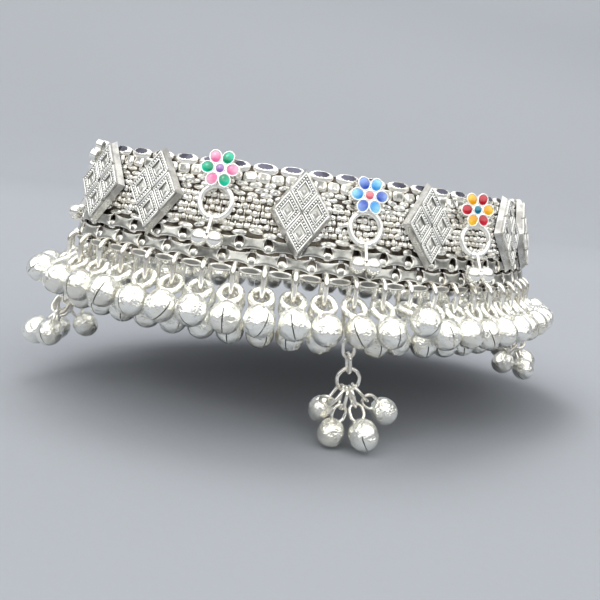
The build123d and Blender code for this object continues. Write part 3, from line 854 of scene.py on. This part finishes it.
def enamelPieces(looks):
    wires, pools = Heap(), {}
    gap, edge = looks["rimGap"], looks["edge"]
    petalHalf, heartHalf = looks["petalHalf"], (looks["heart"],) * 2
    petal, petalEdge = pool(petalHalf, looks)
    heart, heartEdge = pool(heartHalf, looks)
    steps, sides = looks["rimSides"]
    petalRim, heartRim = (
        planarTube(roundPath(steps, half[0] + gap, half[1] + gap), looks["rim"], sides)
        for half in (petalHalf, heartHalf))
    # painted shading: petals pale towards the tip, hearts pale towards the top
    petalTip = (petal[0][:, 0] / petalHalf[0] + 1) / 2
    heartTip = 0.5 + heart[0][:, 1] / looks["heart"] / 4
    radius, wire, drop, hoopStand = looks["hoop"]
    steps, sides = looks["hoopSides"]
    hoop = planarTube(roundPath(steps, radius, drop=-drop), wire, sides)
    for place, colours in looks["colours"].items():
        turn = math.radians(looks["turns"].get(place, 0))
        stand = looks["stand"] + looks["reach"] * math.sin(turn)
        middle, (along, up, outward) = flatPlane(place, looks["middle"], stand)
        along = along * math.cos(turn) + outward * math.sin(turn)
        plane = middle, np.array((along, up, np.cross(along, up)))
        petals = len(colours) - 1
        for number, colour in enumerate(colours):
            heap = pools.setdefault(colour, Heap())
            if number == petals:
                wires.lay(plane, heartRim, (0, 0, edge))
                heap.lay(plane, heart, tipShare=heartTip, rimShare=heartEdge)
                continue
            turn = math.radians(360 / petals * (1 - number))
            spin = np.array(((math.cos(turn), math.sin(turn), 0),
                             (-math.sin(turn), math.cos(turn), 0), (0, 0, 1)))
            spun = middle, spin @ plane[1]
            wires.lay(spun, petalRim, (looks["petalPlace"], 0, edge))
            heap.lay(spun, petal, (looks["petalPlace"], 0, 0), tipShare=petalTip,
                     rimShare=petalEdge)
        wires.lay(plane, hoop, (0, 0, hoopStand))
    wires.piece("flower_wires", [finishes["trimSilver"]], "flower_silver")
    for colour, heap in pools.items():
        heap.piece("enamel_pools_" + colour, [enamelFinish(colour, enamelSurface)],
                   "enamel_" + colour, "enamel_" + colour)


enamelPieces(flowers)

hanging = {  # mm and degrees, as the solids have them
    "ring": {"bend": 2.05, "wire": 0.5, "top": 1.85, "foot": -4.9, "out": -0.15},
    "sway": 4.0,
    "blend": 14.0,  # run of the band over which the hang changes towards an end
    "gap": 0.1,
    "rows": {
        "outer_bells": {
            "loop": 1.95, "wire": 0.66, "hang": 0.36, "lean": (49, 56), "place": (78, 78),
            "leanChange": (4, -1, 2, 5, -2, 0), "swingChange": (0, 0.6, -0.5, 0.3),
            "moved": {1: (28, 12)}, "skipped": (),
        },
        "inner_bells": {
            "loop": 1.9, "wire": 0.6, "hang": 0.42, "lean": (7, 16), "place": (4, -7),
            "leanChange": (0, 0.5, -1, 0), "swingChange": (0.4, -0.6, 0.5, -0.3),
            "moved": {1: (-6, -20)}, "skipped": (-1, 11, -13),
        },
    },
    "tassels": ((-1, 4, 0, 4), (11, 2, 14, 0), (-13, 2, 14, 0)),  # ring, links, lean, swing
    "link": (1.1, 3.75, 0.34),  # bend, length and wire
    "hub": (2.25, 0.34),
    "fan": (1.5, 4.4, 0.3),
    "bail": (1.3, 3.4),
    "spread": ((-41, -50, 22), (-14, 6, -11), (13, 28, -2), (40, -8, 12)),  # turn, lean, swing
    "thicker": 0.03,  # the wires drawn here cover those of the solids
    "loopSteps": 30,
    "hubSteps": 36,
}


def crossPlane(plane, drop):
    spot, axes = plane
    return spot - axes[1] * drop * mm, np.array((axes[2], axes[1], -axes[0]))


def movedPlane(plane, rise):
    spot, axes = plane
    return spot + axes[1] * rise * mm, axes


def turnedPlane(plane, turn):
    spot, axes = plane
    c, s = math.cos(math.radians(turn)), math.sin(math.radians(turn))
    return spot, np.array((axes[0] * c + axes[1] * s, axes[1] * c - axes[0] * s, axes[2]))


def leantPlane(plane, lean):
    spot, axes = plane
    c, s = math.cos(math.radians(lean)), math.sin(math.radians(lean))
    return spot, np.array((axes[0], axes[1] * c - axes[2] * s, axes[2] * c + axes[1] * s))


def uprightPlane(run, height, out):
    # over the lower edge, y straight up and z straight out
    spot, along = onWall(np.array([(run, 0, 0), (run + wall["nudge"], 0, 0)]))
    along = (along - spot) / np.linalg.norm(along - spot)
    outward = np.cross(along, (0, 0, 1))
    spot = spot + (outward * out + np.array((0, 0, height))) * mm
    return spot, np.array((along, (0, 0, 1), outward))


def hangPlane(number, place, lean, swing, looks):
    ring = looks["ring"]
    run = (number + 0.5) * pitch
    spot, (along, up, outward) = uprightPlane(run, ring["foot"] + ring["bend"], ring["out"])
    place, lean = math.radians(place), math.radians(lean)
    hook = spot + (outward * math.sin(place) - up * math.cos(place)) * ring["bend"] * mm
    swing = math.radians(swing + looks["sway"] * along[0])
    down = outward * math.sin(lean) - up * math.cos(lean)
    down = down * math.cos(swing) + along * math.sin(swing)
    face = np.cross(down, along)
    face /= np.linalg.norm(face)
    return hook, np.array((np.cross(face, down), -down, face))


def ringsAndLoops(looks):
    # smooth jump rings, and a skin on the loop of each bell in the two rows
    ring = looks["ring"]
    rings, loops = Heap(), Heap()
    tube = planarTube(longPath(ring["bend"], ring["top"] - ring["foot"]), ring["wire"])
    for number, run in zip(ringNumbers, ringRuns):
        rings.lay(crossPlane(uprightPlane(run, ring["top"], ring["out"]), 0), tube)
        share = math.exp(-((abs(run) - loopLength / 4) / looks["blend"]) ** 2)
        for row in looks["rows"].values():
            if number in row["skipped"]:
                continue
            moved = row["moved"].get(number, (0, 0))
            lean = row["lean"][0] * (1 - share) + row["lean"][1] * share + moved[0]
            lean += row["leanChange"][number % len(row["leanChange"])]
            place = row["place"][0] * (1 - share) + row["place"][1] * share + moved[1]
            swing = row["swingChange"][number % len(row["swingChange"])]
            loop = planarTube(roundPath(looks["loopSteps"], row["loop"]), row["wire"])
            loops.lay(hangPlane(number, place, lean, swing, looks), loop, (0, -row["hang"], 0))
    rings.piece("ring_wires", [finishes["wireSilver"]], "wire_silver", "jump_rings")
    loops.piece("bell_loops", [finishes["bellSilver"]], "bell_silver")


def tasselWires(looks):
    # smooth skins on the links, hubs, fans and bails of the tassels
    heap = Heap()
    linkBend, linkLength, linkWire = looks["link"]
    hubRadius, hubWire = looks["hub"]
    fanBend, fanLength, fanWire = looks["fan"]
    gap, thicker = looks["gap"], looks["thicker"]
    linkTube = planarTube(longPath(linkBend, linkLength), linkWire + thicker)
    hubTube = planarTube(roundPath(looks["hubSteps"], hubRadius), hubWire + thicker)
    fanTube = planarTube(longPath(fanBend, fanLength), fanWire + thicker)
    bailTube = planarTube(longPath(*looks["bail"]), fanWire + thicker)
    linkPitch = linkLength - 2 * linkWire - gap
    fanHang = hubWire + fanWire + gap
    for ring, links, lean, swing in looks["tassels"]:
        hook = hangPlane(ring, lean, lean, swing, looks)
        first = plane = movedPlane(hook, looks["ring"]["wire"] + linkWire + gap)
        for _ in range(links):
            heap.lay(plane, linkTube)
            plane = crossPlane(plane, linkPitch)
        chain = linkLength + (links - 1) * linkPitch
        hub = movedPlane(first, linkWire + hubWire + gap - chain - hubRadius)
        heap.lay(hub, hubTube)
        for turn, lean, swing in looks["spread"]:
            spoke = turnedPlane(hub, turn)
            heap.lay(crossPlane(spoke, hubRadius - fanHang), fanTube)
            foot = movedPlane(spoke, fanHang - hubRadius - fanLength + fanBend)
            foot = movedPlane(leantPlane(foot, lean), -fanBend)
            heap.lay(movedPlane(turnedPlane(foot, swing), 2 * fanWire + gap), bailTube)
    heap.piece("tassel_wires", [finishes["wireSilver"]], "bell_silver")


ringsAndLoops(hanging)
tasselWires(hanging)

solidFinishes = {
    "clasp": "plainSilver", "diamond_plate": "castSilver", "flower": "flowerSilver",
    "jump_rings": "wireSilver", "outer_bells": "bellSilver", "inner_bells": "bellSilver",
    "tassel": "bellSilver",
}
for name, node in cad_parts.items():
    for start, finish in solidFinishes.items():
        if name.startswith(start):
            node.data.materials.clear()
            node.data.materials.append(finishes[finish])
print("solid parts finished")

floorLooks = {
    "colour": (151, 154, 160),
    "dark": (146, 150, 156),
    "wallPaintedLight": (180, 184, 190),
    "wallFrom": (0.0, 0.75),  # m above the floor over which the sweep is painted paler, painted light for its upright part, which gets less light
    "drop": 0.3,  # mm under the lowest bell
    "front": -1.6,  # m
    "half": 2.2,
    "sweepFrom": 0.9,
    "sweepRadius": 0.6,
    "wallTop": 2.0,
    "cloud": 3.0,  # fineness of its soft patches and of its fibres
    "fibre": 900.0,
    "rough": (0.75, 0.15),
    "bump": (0.15, 0.0002),
}


def floorPiece(looks):
    lowest = cadBounds[0].z - looks["drop"] * mm
    finish = Finish("paperFloor")
    cloud = finish.noise(looks["cloud"])
    fibre = finish.noise(looks["fibre"])
    colour = finish.mix(cloud, tone(*looks["colour"]), tone(*looks["dark"]))
    # painted light: the sweep is painted paler as it rises, to make up for the light its upright
    # part lacks
    level = finish.along(finish.position(), (0, 0, 1))
    rise = finish.range(level, *(lowest + height for height in looks["wallFrom"]))
    smooth, rough = looks["rough"]
    material = finish.shader({
        "Base Color": finish.mix(rise, colour, tone(*looks["wallPaintedLight"])),
        "Roughness": smooth + fibre * rough,
        "Normal": finish.bump(fibre, *looks["bump"]),
    })
    start, radius = looks["sweepFrom"], looks["sweepRadius"]
    turns = [math.radians(turn) for turn in range(0, 91, 6)]
    profile = [(looks["front"], 0.0)]
    profile += [(start + radius * math.sin(turn), radius - radius * math.cos(turn))
                for turn in turns]
    profile += [(start + radius, looks["wallTop"])]
    points = [(side, along, lowest + up) for along, up in profile
              for side in (-looks["half"], looks["half"])]
    faces = [(2 * n, 2 * n + 1, 2 * n + 3, 2 * n + 2) for n in range(len(profile) - 1)]
    floor = newObject("paper_floor", points, faces, [material])
    floor.data.polygons.foreach_set("use_smooth", [True] * len(faces))


cardLooks = {
    "middle": (9.0, 6.0, -24.0),  # mm
    "half": (67.0, 40.0),
    "felt": ((0.01, 0.01, 0.01, 1), (0.02, 0.02, 0.02, 1)),
    "fineness": 600.0,
    "rough": 0.9,
}


def shadeCard(looks):
    # a dark card under the bells, unseen, that keeps the top light off the floor there
    finish = Finish("darkCard")
    colour = finish.mix(finish.noise(looks["fineness"]), *looks["felt"])
    material = finish.shader({"Base Color": colour, "Roughness": looks["rough"]})
    turns = [math.radians(turn) for turn in range(0, 360, 6)]
    across, deep = looks["half"]
    points = [(across * math.cos(turn) * mm, deep * math.sin(turn) * mm, 0) for turn in turns]
    card = newObject("shade_card", points, [tuple(range(len(points)))], [material])
    card.location = Vector(looks["middle"]) * mm
    card.visible_camera = card.visible_glossy = card.visible_transmission = False


lightLooks = {
    "suns": {  # turn from the front to the right, height above the floor, width and strength
        "top_light": (172, 76, 34, 0.9),
        "left_light": (-60, 38, 16, 0.3),
    },
    "wallPower": 3.0,
    "wallSize": (2.6, 0.3),  # m
    "wallPlace": (0.6, 0.6, 1.1),
    "wallAim": (0.6, 1.5, 0.35),
}


def hangLight(data, place, back):
    # a light that shines away from the direction of its back
    light = bpy.data.objects.new(data.name, data)
    light.location = place
    light.rotation_euler = back.to_track_quat("Z", "Y").to_euler()
    bpy.context.scene.collection.objects.link(light)


def studioLights(looks):
    for name, (turn, height, width, strength) in looks["suns"].items():
        data = bpy.data.lights.new(name, "SUN")
        data.angle = math.radians(width)
        data.energy = strength
        turn, height = math.radians(turn), math.radians(height)
        back = Vector((math.sin(turn) * math.cos(height), -math.cos(turn) * math.cos(height),
                       math.sin(height)))
        hangLight(data, back, back)
    data = bpy.data.lights.new("wall_light", "AREA")  # washes the upright part of the sweep
    data.shape = "RECTANGLE"
    data.size, data.size_y = looks["wallSize"]
    data.energy = looks["wallPower"]
    place = Vector(looks["wallPlace"])
    hangLight(data, place, place - Vector(looks["wallAim"]))


skyLooks = {
    "low": (0.14, 0.14, 0.142, 1),
    "ring": (0.9, 0.9, 0.91, 1),
    "top": (0.9, 0.9, 0.9, 1),
    "front": (1.95, 1.95, 1.92, 1),
    "frontWay": (-0.25, -0.83, 0.5),  # where the bright soft box of the studio hangs
    "frontFrom": (0.0, 0.7),  # closeness to that direction over which it fades in
    "ringFoot": (13.0, 23.0),  # degrees above the floor where the bright ring starts and is full
    "ringTop": (40.0, 56.0),
}


def studioSky(looks):
    world = bpy.data.worlds.new("studio")
    world.use_nodes = True
    bpy.context.scene.world = world
    finish = Finish("studio", world.node_tree)
    direction = finish.node("ShaderNodeTexCoord", output=0)
    level = finish.along(direction, (0, 0, 1))
    foot, top = (finish.range(level, *(math.sin(math.radians(angle)) for angle in looks[key]))
                 for key in ("ringFoot", "ringTop"))
    colour = finish.mix(foot, looks["low"], looks["ring"])
    colour = finish.mix(top, colour, looks["top"])
    front = finish.range(finish.along(direction, looks["frontWay"]), *looks["frontFrom"])
    colour = finish.mix(front * foot, colour, looks["front"])
    sky = finish.node("ShaderNodeBackground", {}, {"Color": colour, "Strength": 1.0})
    finish.node("ShaderNodeOutputWorld", {}, {"Surface": sky})


floorPiece(floorLooks)
shadeCard(cardLooks)
studioLights(lightLooks)
studioSky(skyLooks)
bpy.context.scene.view_settings.view_transform = "Standard"
print("floor and light placed")
